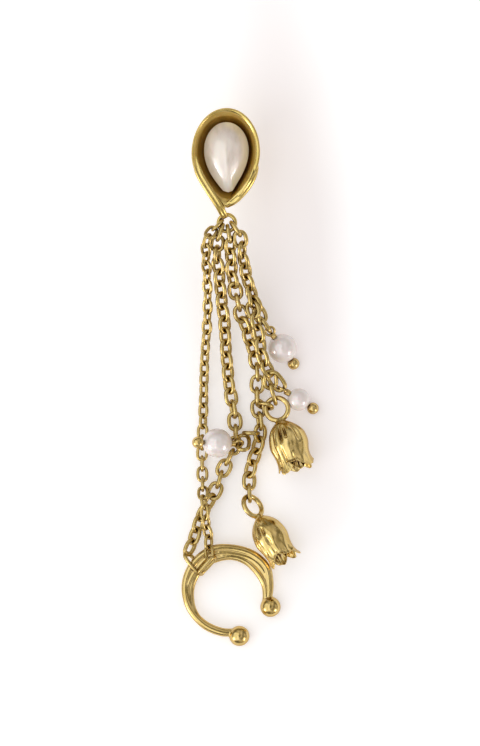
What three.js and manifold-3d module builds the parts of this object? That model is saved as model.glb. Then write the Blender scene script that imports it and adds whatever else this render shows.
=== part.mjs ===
// A chain drop earring in yellow gold: a calla-shaped stud with a mother-of-pearl stone, four fine
// cable chains, three pearls on head pins, two hollow tulip blossoms and an open ear cuff.
// Millimetres, +Z up. The earring lies spread out: the stud stands face up on its post at +Y, the
// chains come down from it and run along -Y to the cuff, which lies on its side.
import * as THREE from 'three';
import { mergeVertices } from 'three/addons/utils/BufferGeometryUtils.js';
import Module from 'manifold-3d';

const wasm = await Module();
wasm.setup();

// Stud: pear outlines given by centre, half width and the reach above and below the widest line.
const postRadius = 0.45;
const studBack = 7.8;
const rimTop = 11.2;
const frameOutline = { x: -3.7, y: 34.7, half: 5.28, above: 6.9, below: 8.5, lean: 0.02 };
const stoneOutline = { x: -3.55, y: 35.1, half: 3.5, above: 4.4, below: 6.6, lean: -0.07 };
const limb = 0.55; // radius of the frame's two ends, which cross at the bottom
const stoneSeat = 9.0;
const stoneHeight = 2.3;
const bail = { x: -3.53, y: 23.87, z: 8.7, radius: 1.325, wire: 0.55 };

// Chains: a link's outer width and wire, and its middle's height where the chain lies on the
// surface; neighbours bite into each other by the overlap.
const thin = { width: 1.9, wire: 0.43, rest: 1.0 };
const heavy = { width: 2.5, wire: 0.58, rest: 1.27 };
const linkOverlap = 0.07;
const linkSides = 10;
const wireSides = 5;
const chainStart = 21.5; // along Y, where the chains begin to come down from the bail ring
const touchdown = -8; // and where they reach the surface

// Pearls on their head pins: heading of the eye seen from above, how far the eye tilts up and is
// turned about the pin. The third pearl rides up on the chains on both sides of it.
const pearls = [
  { place: 1, radius: 2.25, x: 5.08, y: 4.53, z: 2.26, heading: 126, tilt: 25, turn: 0 },
  { place: 2, radius: 1.75, x: 7.6, y: -3.41, z: 1.76, heading: 148, tilt: 18, turn: 90 },
  { place: 3, radius: 2.28, x: -5.03, y: -10.15, z: 3.82, heading: -2, tilt: -24, turn: 50 },
];
const pin = { wire: 0.25, bore: 0.36, ball: 0.88, wrap: 0.47, wrapLength: 0.6, eye: 0.7, eyeWire: 0.2 };

// Tulips: where the blossom's top is, which way its mouth points and tilts up, and how far the
// ring on its top is rolled about that line.
const tulips = [
  { name: 'tulip_1', x: 4.74, y: -6.65, z: 2.5, heading: -74, tilt: 8, roll: 8 },
  { name: 'tulip_2', x: 1.4, y: -21.55, z: 2.5, heading: -59, tilt: 8, roll: -35 },
];
const tulipRing = { radius: 1.75, wire: 0.8 };

// Ear cuff: an open C of two wires laid side by side, soldered, with a ball on each end.
const cuff = { x: -3.32, y: -33.56, z: 1.6, inner: 5.25, wire: 0.7, from: -12, to: 280 };
const cuffReach = [
  // angle in degrees, outer radius
  { angle: -12, radius: 6.75 },
  { angle: 18, radius: 7.4 },
  { angle: 36, radius: 7.95 },
  { angle: 75, radius: 7.8 },
  { angle: 112, radius: 7.95 },
  { angle: 165, radius: 7.5 },
  { angle: 205, radius: 6.95 },
  { angle: 240, radius: 6.8 },
  { angle: 280, radius: 6.85 },
];
const cuffBalls = [
  { x: 3.22, y: -35.59 },
  { x: -1.6, y: -40.1 },
];
const cuffBallRadius = 1.6;
const cuffRing = { width: 2.6, wire: 0.4 }; // an oval ring round the band, for a chain's last link

const gold = { color: 0xc9a95c, metalness: 1, roughness: 0.22 };
const nacre = { color: 0xf1ece4, metalness: 0, roughness: 0.3 };
const pearlWhite = { color: 0xf4ece6, metalness: 0, roughness: 0.25 };

function toSolid(geometry) {
  const bare = geometry.clone();
  bare.deleteAttribute('normal');
  bare.deleteAttribute('uv');
  const merged = mergeVertices(bare, 1e-4);
  return new wasm.Manifold(new wasm.Mesh({
    numProp: 3,
    vertProperties: merged.attributes.position.array,
    triVerts: new Uint32Array(merged.index.array),
  }));
}

function joined(geometries) {
  const solid = geometries.map(toSolid).reduce((whole, piece) => whole.add(piece));
  const mesh = solid.getMesh();
  const geometry = new THREE.BufferGeometry();
  geometry.setAttribute('position', new THREE.BufferAttribute(mesh.vertProperties, 3));
  geometry.setIndex(new THREE.BufferAttribute(mesh.triVerts, 1));
  geometry.computeVertexNormals();
  return geometry;
}

function node(name, geometry, look) {
  const mesh = new THREE.Mesh(geometry, new THREE.MeshStandardMaterial(look));
  mesh.name = name;
  return mesh;
}

function roundSection(radius, sides) {
  const section = new THREE.Shape();
  for (let i = 0; i < sides; i += 1) {
    const angle = (i / sides) * Math.PI * 2;
    const put = i === 0 ? 'moveTo' : 'lineTo';
    section[put](radius * Math.cos(angle), radius * Math.sin(angle));
  }
  return section;
}

function tube(points, radius, sides, steps) {
  const path = new THREE.CatmullRomCurve3(points);
  return new THREE.ExtrudeGeometry(roundSection(radius, sides), { extrudePath: path, steps });
}

function ball(radius, sides) {
  return new THREE.SphereGeometry(radius, sides, Math.round(sides * 0.6));
}

// A lathe turned about Z instead of Y.
function turned(profile, sides) {
  const points = profile.map(([radius, height]) => new THREE.Vector2(radius, height));
  return new THREE.LatheGeometry(points, sides).rotateX(Math.PI / 2);
}

// Moves each vertex by a function of its place.
function warped(geometry, move) {
  const place = geometry.attributes.position;
  const point = new THREE.Vector3();
  for (let i = 0; i < place.count; i += 1) {
    point.fromBufferAttribute(place, i);
    move(point);
    place.setXYZ(i, point.x, point.y, point.z);
  }
  return geometry;
}

// A point on a pear outline: half an ellipse above the widest line, and drawn to a tip below it.
function pearPoint(outline, angle) {
  const rise = Math.sin(angle);
  const side = Math.cos(angle);
  if (rise >= 0) {
    const height = outline.above * rise;
    return new THREE.Vector2(outline.half * side + outline.lean * height, height);
  }
  const depth = -outline.below * (Math.asin(-rise) / (Math.PI / 2));
  const width = outline.half * Math.abs(side) ** 0.75 * Math.sign(side);
  return new THREE.Vector2(width + outline.lean * depth, depth);
}

// Turns a round form of radius 1 about Z into a pear form of the same heights.
function pearForm(profile, sides, outline) {
  return warped(turned(profile, sides), (point) => {
    const reach = Math.hypot(point.x, point.y);
    const edge = pearPoint(outline, Math.atan2(point.y, point.x));
    point.x = outline.x + reach * edge.x;
    point.y = outline.y + reach * edge.y;
  });
}

function studFrame() {
  const cup = pearForm([
    [0, studBack], [0.42, studBack], [0.72, studBack + 0.35], [0.88, studBack + 1.1],
    [0.965, rimTop - 1.1], [1, rimTop - 0.45], [0.975, rimTop - 0.1], [0.925, rimTop],
    [0.875, rimTop - 0.3], [0.85, stoneSeat + 0.5], [0.8, stoneSeat - 0.3],
    [0, stoneSeat - 0.3],
  ], 20, frameOutline);
  const post = new THREE.CylinderGeometry(postRadius, postRadius, studBack + 0.4, 10)
    .rotateX(Math.PI / 2)
    .translate(frameOutline.x, frameOutline.y + 0.4, (studBack + 0.4) / 2);
  const leftLimb = tube([
    new THREE.Vector3(-7.0, 29.9, rimTop - 0.75),
    new THREE.Vector3(-5.9, 28.0, rimTop - 0.5),
    new THREE.Vector3(-4.75, 26.4, rimTop - 0.55),
    new THREE.Vector3(-3.9, 25.4, rimTop - 1.3),
    new THREE.Vector3(bail.x, bail.y + bail.radius, bail.z),
  ], limb, 6, 7);
  const rightLimb = tube([
    new THREE.Vector3(-0.6, 29.3, rimTop - 0.75),
    new THREE.Vector3(-1.9, 27.8, rimTop - 0.9),
    new THREE.Vector3(-3.2, 26.7, rimTop - 1.4),
    new THREE.Vector3(-4.3, 26.0, rimTop - 1.9),
  ], limb, 6, 5);
  const ring = new THREE.TorusGeometry(bail.radius, bail.wire / 2, 5, 12)
    .translate(bail.x, bail.y, bail.z);
  return joined([cup, post, leftLimb, rightLimb, ring]);
}

// A domed stone with a rounded girdle and a flat back.
function stone() {
  return pearForm([
    [0, stoneSeat], [0.93, stoneSeat], [1, stoneSeat + 0.25], [0.985, stoneSeat + 0.55],
    [0.9, stoneSeat + 1.1], [0.72, stoneSeat + 1.65], [0.46, stoneSeat + 2.1], [0, stoneSeat + stoneHeight],
  ], 20, stoneOutline);
}

// An oval link centred on the origin, long along X and flat in XY.
function link(length, size) {
  const bend = (size.width - size.wire) / 2;
  const halfSide = Math.PI / linkSides;
  const reach = (length - size.wire) / 2 - bend * Math.cos(halfSide);
  const ring = new THREE.TorusGeometry(bend, size.wire / 2, wireSides, linkSides, Math.PI * 2, Math.PI);
  return warped(ring.rotateZ(halfSide), (point) => {
    point.x += reach * THREE.MathUtils.clamp(point.x / (0.3 * bend), -1, 1);
  });
}

// A link whose opening runs from one point to the other, rolled about that line from lying flat.
function linkBetween(from, to, size, roll) {
  const along = new THREE.Vector3().subVectors(to, from);
  const length = along.length() + size.wire * 2 - linkOverlap;
  along.normalize();
  const across = new THREE.Vector3(0, 0, 1).cross(along).normalize();
  const normal = new THREE.Vector3().crossVectors(along, across);
  const frame = new THREE.Matrix4().makeBasis(along, across, normal);
  frame.setPosition(new THREE.Vector3().addVectors(from, to).multiplyScalar(0.5));
  return link(length, size).rotateX(THREE.MathUtils.degToRad(roll)).applyMatrix4(frame);
}

// Height of a chain's middle: it hangs from the bail ring and flattens out onto the surface.
function chainHeight(y, rest) {
  const climb = THREE.MathUtils.clamp((y - touchdown) / (chainStart - touchdown), 0, 1);
  return rest + (bail.z - rest) * climb ** 2;
}

function ties(rows, size) {
  return rows.map(({ from, to, roll }) => (
    linkBetween(new THREE.Vector3(...from), new THREE.Vector3(...to), size, roll)
  ));
}

// Equal steps along a route of [x, y, lift] rows.
function chainJoints(route, size, count) {
  const points = route.map(([x, y, lift = 0]) => (
    new THREE.Vector3(x, y, chainHeight(y, size.rest) + lift)
  ));
  return new THREE.CatmullRomCurve3(points).getSpacedPoints(count);
}

// Links along the joints. Each is a quarter turn from the last, about a lie that changes on the way.
function cableChain(joints, size, lie) {
  return joints.slice(1).map((joint, i) => {
    const roll = readOff(lie, i / (joints.length - 2)) + (i % 2 === 0 ? 90 : 0);
    return linkBetween(joints[i], joint, size, roll);
  });
}

// Reads a value off rows of [share of the way, value].
function readOff(rows, share) {
  const next = rows.findIndex(([place]) => place >= share);
  if (next <= 0) {
    return rows[Math.max(next, 0)][1];
  }
  const [[a, low], [b, high]] = [rows[next - 1], rows[next]];
  return low + ((high - low) * (share - a)) / (b - a);
}

// Each chain's route in rows of [x, y, lift above the common slope], and its lie in rows of
// [share of the way, degrees].
const thinRoute = [
  [-4.36, 24.1], [-5.44, 23.05, 0.2], [-6.4, 21.9, 1.0], [-6.75, 20.5, 1.0], [-6.65, 16.6], [-6.5, 12.0],
  [-6.65, 7.3], [-6.95, 3.5], [-7.2, -5.5], [-7.4, -12.5], [-7.3, -16.2, 0.6], [-7.25, -18.2, 2.0],
  [-7.0, -19.7, 2.6], [-6.95, -21.5, 2.5], [-6.65, -23.3, 1.7], [-6.25, -24.5, 1.15], [-5.87, -25.8, 0.82],
];
const thinLie = [[0, 0], [0.1, 45], [0.55, 45], [0.75, 0], [1, 0]];
const leftRoute = [
  [-4.25, 23.35], [-4.9, 21.5, -0.1], [-5.1, 20.0, -0.3], [-4.7, 15.7], [-4.35, 11.9], [-3.85, 8.0],
  [-3.75, 5.2], [-3.5, 2.3], [-3.15, -1.5], [-2.45, -5.3], [-2.3, -7.0], [-2.1, -9.4],
  [-2.9, -12.0], [-4.3, -14.6], [-4.8, -16.3], [-5.6, -18.1], [-6.6, -19.9], [-7.8, -22.1],
  [-8.3, -23.9], [-8.8, -25.4], [-9.68, -27.16, 0.3],
];
const leftLie = [[0, 0], [0.04, 0], [0.12, 45], [0.5, 45], [0.58, 90], [0.82, 90], [1, 180]];
const middleRoute = [
  [-3.4, 23.15], [-3.05, 21.25], [-2.95, 19.6], [-2.8, 16.4], [-2.2, 13.3], [-1.5, 10.35],
  [-0.45, 7.3], [0.35, 4.7], [0.9, 2.7], [1.25, 0.4], [1.1, -3.1], [1.6, -6.9],
  [1.7, -8.9], [0.85, -12.0], [0.1, -14.1], [-0.1, -16.2, 0.2], [0.0, -18.9, 0.62],
];
const middleLie = [[0, 0], [0.05, -45], [0.5, -45], [0.58, 0], [1, 0]];
const rightRoute = [
  [-2.72, 23.7], [-1.55, 22.0, 0.32], [-1.2, 19.8, 0.25], [-0.9, 17.6], [-0.05, 14.05], [0.5, 12.5],
  [1.5, 9.85], [2.1, 8.7, 0.25], [3.01, 7.4, 0.47],
];
const rightLie = [[0, 0], [0.12, 0], [0.3, 45], [0.8, 45], [1, 90]];
const branchRoute = [
  [-0.1, 13.2], [0.1, 11.8, 0.2], [0.7, 9.9, 1.4], [1.1, 8.3, 1.6], [1.5, 6.4, 1.8],
  [1.7, 4.6, 1.9], [1.9, 3.1, 2.0], [2.5, 1.7, 1.9], [3.2, 0.6, 1.7],
];
const branchLie = [[0, 0], [0.3, 45], [1, 45]];

// Single links that tie the strands together: the opening's two ends, and the roll.
const leftTies = [
  { from: [-1.0, -9.2, 1.35], to: [-1.0, -11.0, 2.9], roll: 0 },
  { from: [-0.6, -8.6, 1.3], to: [1.02, -8.65, 1.27], roll: 90 },
];
const middleTies = [
  { from: [1.65, -4.4, 1.3], to: [3.08, -4.42, 2.45], roll: 60 },
];
const rightTies = [
  { from: [3.4, 0.4, 3.5], to: [4.93, -1.63, 2.8], roll: 20 },
  { from: [3.2, 0.7, 3.5], to: [3.25, -1.4, 2.9], roll: 0 },
  { from: [3.25, -1.35, 2.9], to: [3.95, -3.74, 1.9], roll: 90 },
];
const cuffRings = [
  { name: 'cuff_ring_left', from: [-7.6, -30.95, 1.6], to: [-9.6, -26.9, 1.6], roll: 90 },
  { name: 'cuff_ring_right', from: [-7.0, -30.3, 1.6], to: [-5.76, -25.55, 1.6], roll: 90 },
];

// A pearl about its drilled hole, which runs along Z.
function pearlForm(radius) {
  const hole = Math.asin(pin.bore / radius);
  const rows = 6;
  const profile = [];
  for (let i = 0; i <= rows; i += 1) {
    const angle = hole + ((Math.PI - 2 * hole) * i) / rows;
    profile.push([radius * Math.sin(angle), -radius * Math.cos(angle)]);
  }
  profile.push(profile[0]);
  return turned(profile, 10);
}

// A head pin through a pearl: ball, wire, wraps and an eye, along Z from ball to eye.
function headPin(radius, turn) {
  const play = 0.06;
  const ballTop = -radius - play;
  const wrapStart = radius + play;
  const wrapEnd = wrapStart + pin.wrapLength;
  const profile = [];
  for (let i = 0; i < 5; i += 1) {
    const angle = (Math.PI * i) / 5;
    profile.push([pin.ball * Math.sin(angle), ballTop - pin.ball - pin.ball * Math.cos(angle)]);
  }
  profile.push(
    [pin.wire, ballTop - 0.05], [pin.wire, wrapStart], [pin.wrap, wrapStart + 0.05],
    [pin.wrap, wrapEnd - 0.05], [0, wrapEnd + 0.05],
  );
  const eye = new THREE.TorusGeometry(pin.eye, pin.eyeWire, 5, 10)
    .rotateX(Math.PI / 2)
    .rotateZ(THREE.MathUtils.degToRad(turn))
    .translate(0, 0, wrapEnd + pin.eye);
  return joined([turned(profile, 7), eye]);
}

// Turns a form so that its Z axis points along a heading and a tilt, with its Y axis kept upwards.
function aim(object, heading, tilt) {
  const turn = THREE.MathUtils.degToRad(heading);
  const rise = THREE.MathUtils.degToRad(tilt);
  const forward = new THREE.Vector3(
    Math.cos(rise) * Math.cos(turn), Math.cos(rise) * Math.sin(turn), Math.sin(rise),
  );
  const side = new THREE.Vector3(0, 0, 1).cross(forward).normalize();
  const up = new THREE.Vector3().crossVectors(forward, side);
  object.quaternion.setFromRotationMatrix(new THREE.Matrix4().makeBasis(side, up, forward));
}

// A hollow blossom of three petals, open at the mouth: its top is the origin, its mouth along Z.
function blossom() {
  const profile = [
    [0, 0], [0.75, 0.1], [1.6, 0.7], [2.5, 2.0], [3.1, 4.4], [2.9, 6.3],
    [2.85, 8.0], [2.5, 8.0], [2.35, 6.8], [2.55, 4.4], [1.9, 2.6], [0, 1.1],
  ];
  const form = turned(profile, 12);
  return warped(form, (point) => {
    const petal = Math.cos(3 * Math.atan2(point.y, point.x));
    const flare = THREE.MathUtils.clamp((point.z - 5.2) / 2.8, 0, 1);
    const swell = 1 + 0.07 * flare * petal;
    point.set(point.x * swell, point.y * swell, point.z + 0.5 * flare ** 2 * petal);
  });
}

function tulip(roll) {
  const ring = new THREE.TorusGeometry(tulipRing.radius, tulipRing.wire / 2, 5, 12)
    .rotateX(Math.PI / 2)
    .rotateZ(THREE.MathUtils.degToRad(roll))
    .translate(0, 0, -tulipRing.radius - 0.1);
  return joined([blossom(), ring]);
}

// The cuff's band: two lobes side by side, swept round from ball to ball and tapering at both.
function cuffBand() {
  const lobes = [
    [0, 0], [0.08, 0.7], [0.28, 1], [0.5, 0.65], [0.72, 1], [0.92, 0.7], [1, 0],
  ];
  const under = lobes.slice(1, -1).reverse().map(([across, height]) => [across, -height]);
  const outline = [...lobes, ...under].map(([across, height]) => new THREE.Vector2(across, height));
  const section = new THREE.Shape(outline);
  const band = new THREE.ExtrudeGeometry(section, { depth: 1, steps: 14, bevelEnabled: false });
  const reach = cuffReach.map(({ angle, radius }) => [(angle - cuff.from) / (cuff.to - cuff.from), radius]);
  return warped(band, (point) => {
    const angle = THREE.MathUtils.degToRad(cuff.from + (cuff.to - cuff.from) * point.z);
    const radius = cuff.inner + (readOff(reach, point.z) - cuff.inner) * point.x;
    const height = cuff.z - cuff.wire * point.y;
    point.set(cuff.x + radius * Math.cos(angle), cuff.y + radius * Math.sin(angle), height);
  });
}

function earCuff() {
  const balls = cuffBalls.map(({ x, y }) => ball(cuffBallRadius, 10).translate(x, y, cuffBallRadius));
  return joined([cuffBand(), ...balls]);
}

const group = new THREE.Group();
group.add(node('stud_frame', studFrame(), gold));
group.add(node('mother_of_pearl', stone(), nacre));

group.add(node('thin_chain', joined(
  cableChain(chainJoints(thinRoute, thin, 32), thin, thinLie),
), gold));
group.add(node('left_chain', joined([
  ...cableChain(chainJoints(leftRoute, heavy, 28), heavy, leftLie),
  ...ties(leftTies, heavy),
]), gold));
group.add(node('middle_chain', joined([
  ...cableChain(chainJoints(middleRoute, heavy, 23), heavy, middleLie),
  ...ties(middleTies, heavy),
]), gold));
group.add(node('right_chain', joined([
  ...cableChain(chainJoints(rightRoute, heavy, 10), heavy, rightLie),
  ...cableChain(chainJoints(branchRoute, heavy, 7), heavy, branchLie),
  ...ties(rightTies, heavy),
]), gold));

for (const pearl of pearls) {
  const bead = node(`pearl_${pearl.place}`, pearlForm(pearl.radius), pearlWhite);
  const wire = node(`head_pin_${pearl.place}`, headPin(pearl.radius, pearl.turn), gold);
  for (const piece of [bead, wire]) {
    piece.position.set(pearl.x, pearl.y, pearl.z);
    aim(piece, pearl.heading, pearl.tilt);
    group.add(piece);
  }
}
for (const spec of tulips) {
  const drop = node(spec.name, tulip(spec.roll), gold);
  drop.position.set(spec.x, spec.y, spec.z);
  aim(drop, spec.heading, spec.tilt);
  group.add(drop);
}
group.add(node('ear_cuff', earCuff(), gold));
for (const ring of cuffRings) {
  group.add(node(ring.name, ties([ring], cuffRing)[0], gold));
}

export default group;
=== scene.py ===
import math
import random

import bpy
from mathutils import Matrix, Vector


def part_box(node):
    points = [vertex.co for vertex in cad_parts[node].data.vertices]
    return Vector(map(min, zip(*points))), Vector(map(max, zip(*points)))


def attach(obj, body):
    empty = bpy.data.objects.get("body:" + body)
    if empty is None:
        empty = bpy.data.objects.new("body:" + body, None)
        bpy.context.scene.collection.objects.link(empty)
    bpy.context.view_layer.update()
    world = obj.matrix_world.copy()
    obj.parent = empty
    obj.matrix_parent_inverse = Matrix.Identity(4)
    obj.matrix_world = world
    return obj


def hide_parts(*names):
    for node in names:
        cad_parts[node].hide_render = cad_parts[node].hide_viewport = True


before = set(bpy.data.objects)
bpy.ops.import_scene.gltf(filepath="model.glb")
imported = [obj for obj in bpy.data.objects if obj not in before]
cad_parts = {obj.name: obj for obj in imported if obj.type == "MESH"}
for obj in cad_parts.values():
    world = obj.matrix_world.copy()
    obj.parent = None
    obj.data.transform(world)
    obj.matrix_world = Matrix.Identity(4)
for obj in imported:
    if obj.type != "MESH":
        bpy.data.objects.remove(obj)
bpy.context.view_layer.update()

mm = 0.001  # shapes are worked out in millimetres and scaled once, when a piece is made
tiny = 0.001  # a row this near the axis closes a turned shape
random.seed(7)


def mix(a, b, share):
    return a + (b - a) * share


def clamp(value, low=0.0, high=1.0):
    return max(low, min(high, value))


def bell(value, width):
    return math.exp(-(value / width) ** 2)


def past(value, start):
    # nothing up to the start, then rising evenly to 1
    return clamp((value - start) / (1 - start))


def readOff(rows, share):
    # a value at a place along rows of (place, value)
    for (a, low), (b, high) in zip(rows, rows[1:]):
        if share <= b:
            return mix(low, high, clamp((share - a) / (b - a)))
    return rows[-1][1]


def smoothPath(points, perSpan=24):
    # a soft curve through points, smooth even where they stand at uneven distances
    points = [Vector(p) for p in points]
    ends = [points[0] * 2 - points[1]] + points + [points[-1] * 2 - points[-2]]
    path = []
    for p0, p1, p2, p3 in zip(ends, ends[1:], ends[2:], ends[3:]):
        d0, d1, d2 = ((b - a).length ** 0.5 for a, b in ((p0, p1), (p1, p2), (p2, p3)))
        leave = ((p1 - p0) / d0 - (p2 - p0) / (d0 + d1) + (p2 - p1) / d1) * d1
        arrive = ((p2 - p1) / d1 - (p3 - p1) / (d1 + d2) + (p3 - p2) / d2) * d1
        for i in range(perSpan):
            t = i / perSpan
            path.append(p1 + leave * t + (p2 * 3 - p1 * 3 - leave * 2 - arrive) * t ** 2
                        + (p1 * 2 - p2 * 2 + leave + arrive) * t ** 3)
    path.append(points[-1])
    return path


def softRows(rows):
    # rows of (place, value) filled in with a soft curve
    return [(p.x, p.y) for p in smoothPath([(place, value, 0) for place, value in rows], 8)]


def evenSteps(path, count):
    # points at equal distances along a path
    lengths = [0.0]
    for a, b in zip(path, path[1:]):
        lengths.append(lengths[-1] + (b - a).length)
    steps, at = [], 0
    for i in range(count + 1):
        goal = lengths[-1] * i / count
        while at < len(lengths) - 2 and lengths[at + 1] < goal:
            at += 1
        share = (goal - lengths[at]) / (lengths[at + 1] - lengths[at])
        steps.append(path[at].lerp(path[at + 1], clamp(share)))
    return steps


def skin(rings, closedRound=False):
    # faces between rings of points; unless the rings close on each other, both ends are capped
    points = [p for ring in rings for p in ring]
    faces = []
    count, rows = len(rings[0]), len(rings)
    for i in range(rows if closedRound else rows - 1):
        for j in range(count):
            a, b = i * count, ((i + 1) % rows) * count
            k = (j + 1) % count
            faces.append((a + j, b + j, b + k, a + k))
    if not closedRound:
        faces.append(tuple(reversed(range((rows - 1) * count, rows * count))))
        faces.append(tuple(range(count)))
    return points, faces


def flipped(shape):
    # the same shape with its faces looking the other way
    points, faces = shape
    return points, [tuple(reversed(face)) for face in faces]


def sweep(path, radius, sides, closedRound=False):
    # a round wire along a path; its radius is a number, or is worked out from the share of the way
    rings = []
    count = len(path)
    across = None
    for i, place in enumerate(path):
        before = path[i - 1] if i or closedRound else path[0]
        after = path[(i + 1) % count] if i < count - 1 or closedRound else path[-1]
        ahead = (after - before).normalized()
        if across is None:
            across = ahead.orthogonal()
        across = (across - ahead * across.dot(ahead)).normalized()
        other = ahead.cross(across)
        size = radius(i / (count - 1)) if callable(radius) else radius
        rings.append([place + (across * math.cos(a) + other * math.sin(a)) * size
                      for a in (math.tau * j / sides for j in range(sides))])
    return skin(rings, closedRound)


def turned(profile, sides, closedRound=False):
    # rows of (radius, height) turned about Z, from the bottom to the top, and back down a bore if closed
    rings = [[Vector((r * math.cos(a), r * math.sin(a), z))
              for a in (math.tau * j / sides for j in range(sides))] for r, z in profile]
    return flipped(skin(rings, closedRound))


def ballRows(radius, middle, steps, count):
    # a ball's outline from its lowest point upwards, for turned
    angles = [math.pi * i / steps for i in range(count)]
    return [(max(tiny, radius * math.sin(a)), middle - radius * math.cos(a)) for a in angles]


def torus(radius, wire, sides=14, steps=48):
    path = [Vector((radius * math.cos(a), radius * math.sin(a), 0))
            for a in (math.tau * i / steps for i in range(steps))]
    return sweep(path, wire, sides, closedRound=True)


def placed(shape, matrix):
    points, faces = shape
    return [matrix @ p for p in points], faces


def pointing(place, heading, tilt):
    # Z runs along a heading and a tilt in degrees, with Y kept upwards
    turn, rise = math.radians(heading), math.radians(tilt)
    ahead = Vector((math.cos(rise) * math.cos(turn), math.cos(rise) * math.sin(turn), math.sin(rise)))
    side = Vector((0, 0, 1)).cross(ahead).normalized()
    up = ahead.cross(side)
    basis = Matrix((side, up, ahead)).transposed().to_4x4()
    return Matrix.Translation(place) @ basis


def makePiece(name, shapes, finish, node, fuse=None, soften=0):
    # joins the shapes into one object; fuse is the grain, in mm, that welds them into one skin, and
    # soften is how many times that skin is smoothed
    points, faces = [], []
    for shapePoints, shapeFaces in shapes:
        start = len(points)
        points += shapePoints
        faces += [tuple(start + i for i in face) for face in shapeFaces]
    mesh = bpy.data.meshes.new(name)
    mesh.from_pydata(points, [], faces)
    piece = bpy.data.objects.new(name, mesh)
    bpy.context.scene.collection.objects.link(piece)
    if fuse:
        weld = piece.modifiers.new("weld", "REMESH")
        weld.mode = "VOXEL"
        weld.voxel_size = fuse
        ease = piece.modifiers.new("ease", "SMOOTH")
        ease.iterations = soften
        ease.factor = 0.5
        bpy.context.view_layer.update()
        welded = piece.evaluated_get(bpy.context.evaluated_depsgraph_get())
        mesh = bpy.data.meshes.new_from_object(welded)
        piece.modifiers.clear()
        piece.data = mesh
    mesh.transform(Matrix.Scale(mm, 4))
    mesh.shade_smooth()
    mesh.materials.clear()
    mesh.materials.append(finish)
    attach(piece, "root")
    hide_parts(node)
    return piece


def newFinish(name):
    # an empty finish, with its place in millimetres for the patterns on it
    finish = bpy.data.materials.new(name)
    finish.use_nodes = True
    nodes, links = finish.node_tree.nodes, finish.node_tree.links
    nodes.clear()
    surface = nodes.new("ShaderNodeBsdfPrincipled")
    out = nodes.new("ShaderNodeOutputMaterial")
    links.new(surface.outputs["BSDF"], out.inputs["Surface"])
    place = nodes.new("ShaderNodeTexCoord")
    scale = nodes.new("ShaderNodeMapping")
    scale.inputs["Scale"].default_value = (1 / mm, 1 / mm, 1 / mm)
    links.new(place.outputs["Object"], scale.inputs["Vector"])
    return finish, nodes, links, surface, scale.outputs["Vector"]


def noiseAt(nodes, links, place, scale, detail, roughness=0.5, stretch=None):
    # soft random patches between 0 and 1
    if stretch:
        pull = nodes.new("ShaderNodeMapping")
        pull.inputs["Scale"].default_value = stretch
        links.new(place, pull.inputs["Vector"])
        place = pull.outputs["Vector"]
    cloud = nodes.new("ShaderNodeTexNoise")
    cloud.inputs["Scale"].default_value = scale
    cloud.inputs["Detail"].default_value = detail
    cloud.inputs["Roughness"].default_value = roughness
    links.new(place, cloud.inputs["Vector"])
    return cloud.outputs["Fac"]


def ramp(nodes, links, value, stops):
    # a colour for each value, from rows of (value, colour)
    band = nodes.new("ShaderNodeValToRGB")
    links.new(value, band.inputs["Fac"])
    elements = band.color_ramp.elements
    while len(elements) < len(stops):
        elements.new(0.5)
    for element, (position, color) in zip(elements, stops):
        element.position = position
        element.color = (*color, 1)
    return band.outputs["Color"]


def remap(nodes, links, value, before, after):
    # moves a value from one range of (low, high) to another
    spread = nodes.new("ShaderNodeMapRange")
    for name, number in zip(("From Min", "From Max", "To Min", "To Max"), (*before, *after)):
        spread.inputs[name].default_value = number
    links.new(value, spread.inputs["Value"])
    return spread.outputs["Result"]


def bumpUp(nodes, links, height, strength, distance, below=None):
    bump = nodes.new("ShaderNodeBump")
    bump.inputs["Strength"].default_value = strength
    bump.inputs["Distance"].default_value = distance
    links.new(height, bump.inputs["Height"])
    if below:
        links.new(below, bump.inputs["Normal"])
    return bump.outputs["Normal"]


# patches, wear, ripple and scratch say how many of each there are to a millimetre, roughly
castGold = {
    "light": (0.69, 0.49, 0.145),
    "deep": (0.60, 0.405, 0.09),
    "patches": 0.45,  # of lighter and deeper gold
    # the colour in the hollows: partly the patina there, partly painted shade
    "creviceShadeAndPatina": (0.22, 0.12, 0.02),
    "creviceShadeAndPatinaReach": 0.9 * mm,
    "edge": (0.50, 0.36, 0.17),
    "smooth": 0.17,
    "worn": 0.25,
    "wear": 1.7,
    "sheen": 0.65,  # how much of the pale, clear shine lies over the gold
    "sheenIor": 2.0,
    "sheenSpread": 0.05,
    "ripple": 0.9,  # soft dents of hand work
    "rippleDepth": 0.03 * mm,
    "scratch": 9.0,
    "scratchPull": (1.0, 4.0, 1.0),
    "scratchDepth": 0.0005 * mm,
}
studGold = {
    **castGold,
    "light": (0.735, 0.55, 0.165),
    "deep": (0.635, 0.455, 0.10),
    "creviceShadeAndPatina": (0.30, 0.20, 0.03),
    "creviceShadeAndPatinaReach": 0.75 * mm,
    "sheen": 0.35,
    "worn": 0.22,
}
petalGold = {
    **castGold,
    "light": (0.71, 0.515, 0.155),
    "deep": (0.62, 0.43, 0.10),
    "smooth": 0.2,
    "worn": 0.28,
    "scratchDepth": 0.0002 * mm,
}
chainGold = {
    **castGold,
    "light": (0.60, 0.425, 0.11),
    "deep": (0.50, 0.34, 0.065),
    "creviceShadeAndPatinaReach": 0.5 * mm,
    "smooth": 0.22,
    "worn": 0.34,
    "sheenSpread": 0.06,
    "scratchDepth": 0.001 * mm,
    "rippleDepth": 0.01 * mm,
}


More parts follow.
